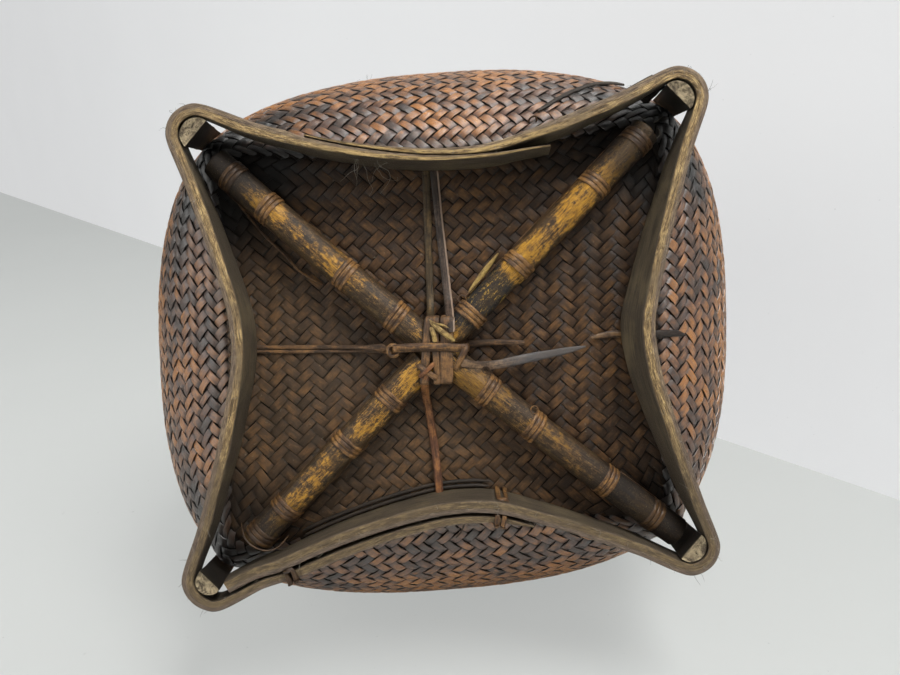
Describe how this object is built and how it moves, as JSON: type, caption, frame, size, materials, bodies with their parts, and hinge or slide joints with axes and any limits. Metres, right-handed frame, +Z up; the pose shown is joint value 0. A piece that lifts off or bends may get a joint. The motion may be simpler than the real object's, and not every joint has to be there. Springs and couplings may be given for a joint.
{
  "type": "footed plaited basket",
  "caption": "Round plaited basket on a pinched square foot hoop, with a lashed cross of canes under its base and corner posts up its wall.",
  "frame": {"origin": "centre of the foot plane, at the height of the foot hoop's lower edge", "axes": "+Z up through the open mouth, +X to the right and -Y to the front, which is the top of the picture"},
  "size_m": [0.4138, 0.3778, 0.3022],
  "materials": {
    "weave": "smoked dark brown split bamboo, satin where rubbed, dusty in the grooves",
    "hoop": "grey-brown bent bamboo with a worn, fibrous tan lower edge",
    "post": "split cane, dark skin, cracked pale cut end",
    "cane": "round cane, glossy amber skin with worn brown patches",
    "rattan": "split rattan strip, red-brown, satin skin",
    "dark_strip": "thin cane and strip, nearly black, dull"
  },
  "bodies": {
    "root": {"cane_lower": "cane", "cane_upper": "cane", "centre_band": "rattan", "centre_wrap": "rattan", "corner_post_back_left": "post", "corner_post_back_right": "post", "corner_post_front_left": "post", "corner_post_front_right": "post", "edge_cane_back": "dark_strip", "edge_cane_front": "dark_strip", "edge_cane_left": "dark_strip", "foot_band_left": "hoop", "foot_band_right": "hoop", "foot_splint_back": "hoop", "foot_tie_left": "rattan", "foot_tie_right": "rattan", "lashing_back_left_1": "rattan", "lashing_back_left_2": "rattan", "lashing_back_left_3": "rattan", "lashing_back_left_4": "rattan", "lashing_back_right_1": "rattan", "lashing_back_right_2": "rattan", "lashing_back_right_3": "rattan", "lashing_front_left_1": "rattan", "lashing_front_left_2": "rattan", "lashing_front_left_3": "rattan", "lashing_front_right_1": "rattan", "post_lashing_back_left": "rattan", "post_lashing_back_right": "rattan", "post_lashing_front_left": "rattan", "post_lashing_front_right": "rattan", "rim_hoop_inner": "hoop", "rim_hoop_outer": "hoop", "rim_winding": "rattan", "strand_back_inner": "dark_strip", "strand_back_outer": "dark_strip", "tie_strip_back": "rattan", "tie_strip_front_dark": "rattan", "tie_strip_front_pale": "rattan", "tie_strip_left_back": "rattan", "tie_strip_left_front": "rattan", "tie_strip_right_free": "rattan", "tie_strip_right_outer": "rattan", "tie_stub_right": "rattan", "wall_strip_front": "dark_strip", "woven_body": "weave"}
  },
  "joints": []
}
